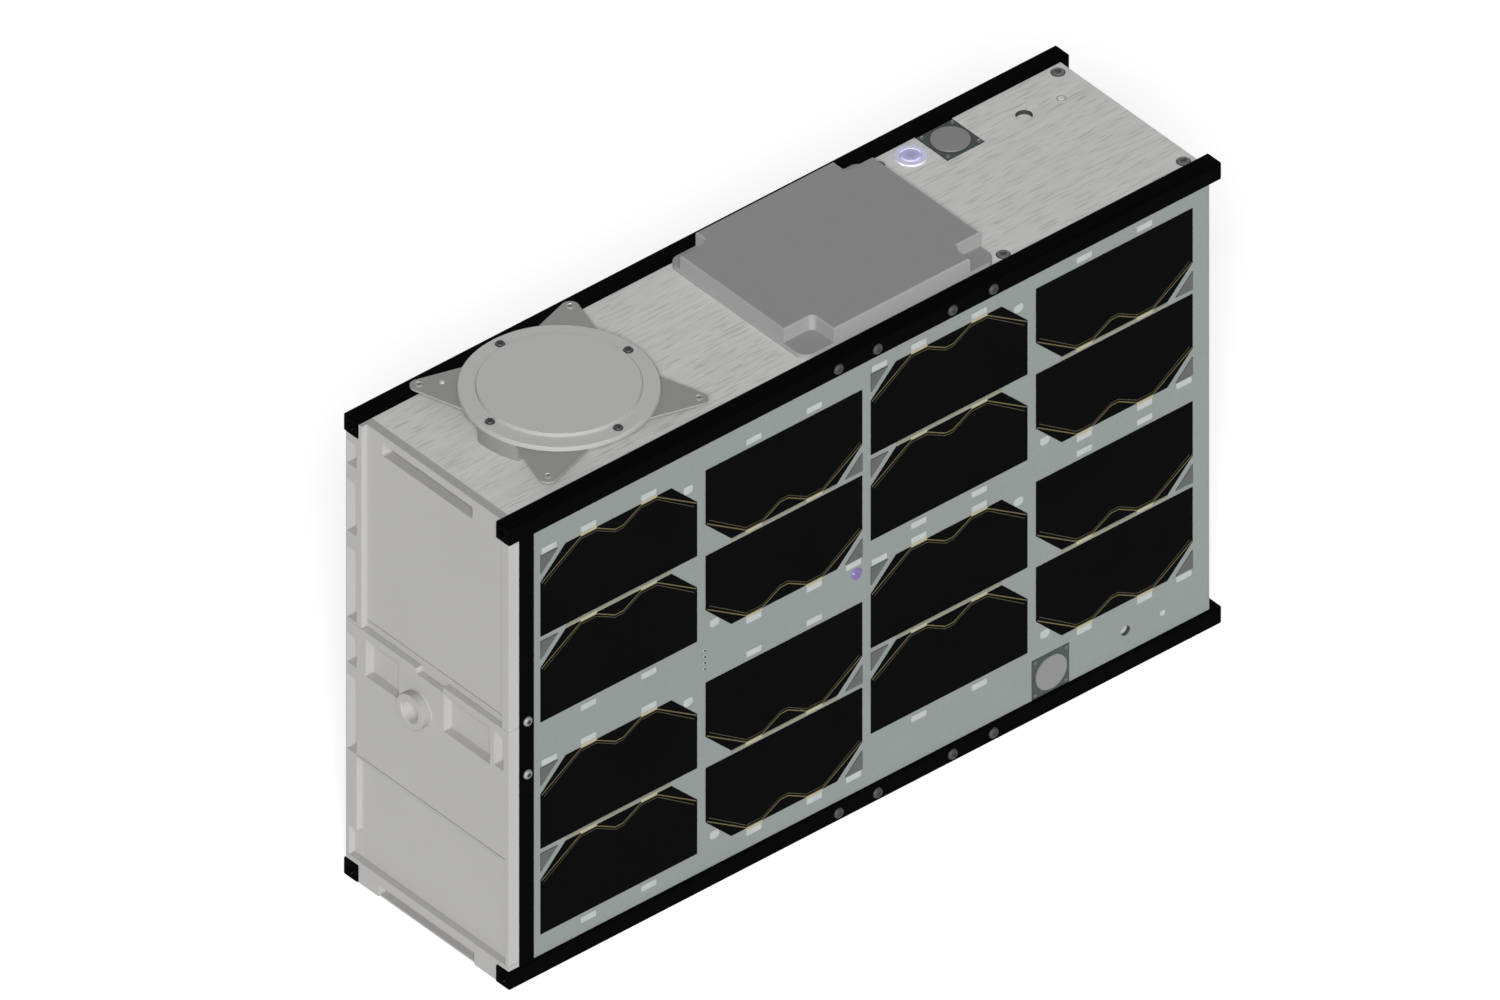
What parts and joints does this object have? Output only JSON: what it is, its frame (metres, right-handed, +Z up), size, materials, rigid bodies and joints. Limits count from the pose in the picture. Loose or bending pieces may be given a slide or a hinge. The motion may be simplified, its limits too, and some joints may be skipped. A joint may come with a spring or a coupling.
{
  "type": "six-unit box satellite",
  "caption": "Flat box nano-satellite on black corner rails, with solar cells on both large sides, a brushed top and a round instrument.",
  "frame": {"origin": "middle of the base that the two lower rails stand on", "axes": "+X along the rails from the front end module to the plain back end, +Y across from the near side to the far side, +Z up to the instrument side"},
  "size_m": [0.366, 0.1, 0.2359],
  "materials": {
    "black_anodised": "hard black anodised aluminium",
    "brushed_aluminium": "brushed along the length",
    "circuit_board": "grey-green solder resist",
    "solar_cell": "black cell under cover glass",
    "diode_silver": "matt silver",
    "sensor_board": "dark green-grey board",
    "sensor_disc": "satin",
    "violet_glass": "violet lens",
    "lavender_glass": "lavender lens",
    "pale_ring": "pale matt ring",
    "dark_machined": "dark bead-blasted",
    "flange_grey": "satin turned",
    "housing_grey": "grey bead-blasted",
    "end_grey": "pale bead-blasted",
    "stack_black": "plain"
  },
  "bodies": {
    "root": {"back_end_plate": "end_grey", "bottom_skin": "brushed_aluminium", "bypass_diodes_far": "diode_silver", "bypass_diodes_near": "diode_silver", "end_bottom_beam": "end_grey", "end_lower_cover": "end_grey", "end_middle_plate": "end_grey", "end_upper_cover": "end_grey", "front_post_far": "black_anodised", "front_post_near": "black_anodised", "housing_base": "housing_grey", "housing_body": "housing_grey", "inner_stack": "stack_black", "instrument_body": "dark_machined", "instrument_disc": "flange_grey", "instrument_flange": "flange_grey", "instrument_stand": "dark_machined", "rail_far_lower": "black_anodised", "rail_far_upper": "black_anodised", "rail_near_lower": "black_anodised", "rail_near_upper": "black_anodised", "side_lens_far": "violet_glass", "side_lens_near": "violet_glass", "side_panel_far": "circuit_board", "side_panel_near": "circuit_board", "side_sensor_board_far": "sensor_board", "side_sensor_board_near": "sensor_board", "side_sensor_disc_far": "sensor_disc", "side_sensor_disc_near": "sensor_disc", "solar_cells_far": "solar_cell", "solar_cells_near": "solar_cell", "top_lens": "lavender_glass", "top_lens_ring": "pale_ring", "top_sensor_board": "sensor_board", "top_sensor_disc": "sensor_disc", "top_skin": "brushed_aluminium"}
  },
  "joints": []
}
